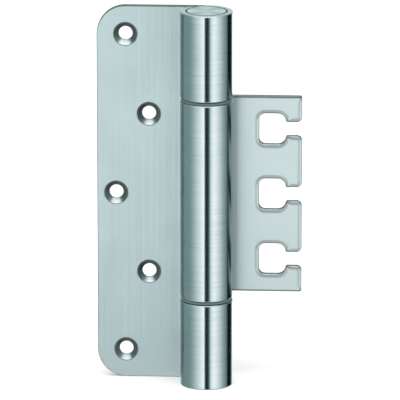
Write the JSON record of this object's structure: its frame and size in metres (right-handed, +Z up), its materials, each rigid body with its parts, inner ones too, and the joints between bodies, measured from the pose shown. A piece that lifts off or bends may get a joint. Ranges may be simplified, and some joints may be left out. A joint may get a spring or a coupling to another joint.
{
  "type": "commercial door hinge",
  "caption": "Heavy-duty barrel hinge of stainless sheet: a countersunk door leaf with rolled outer knuckles and a frame leaf with open clamp slots, joined by a pin in plain bearings.",
  "frame": {"origin": "on the pin axis, at the lower end of the barrel", "axes": "+Z up the pin axis, +X towards the frame leaf's outer edge, +Y towards the leaves' mounting faces, with the hinge flat open"},
  "size_m": [0.0853, 0.022, 0.16],
  "materials": {
    "door_leaf_steel": "brushed",
    "frame_leaf_steel": "satin",
    "pin_steel": "ground",
    "sleeve_steel": "turned",
    "bearing_polymer": "matte",
    "cap_steel": "turned"
  },
  "bodies": {
    "door_side": {"door_leaf": "door_leaf_steel", "hinge_pin": "pin_steel", "upper_pin_sleeve": "sleeve_steel", "lower_pin_sleeve": "sleeve_steel", "upper_end_cap": "cap_steel", "lower_end_cap": "cap_steel"},
    "frame_side": {"frame_leaf": "frame_leaf_steel", "upper_bearing_bush": "bearing_polymer", "lower_bearing_bush": "bearing_polymer"}
  },
  "joints": [
    {"name": "leaf_swing", "type": "hinge", "parent": "door_side", "child": "frame_side", "pos_m": [0, 0, 0.08], "axis": [0, 0, -1], "range_deg": [0, 180]}
  ]
}
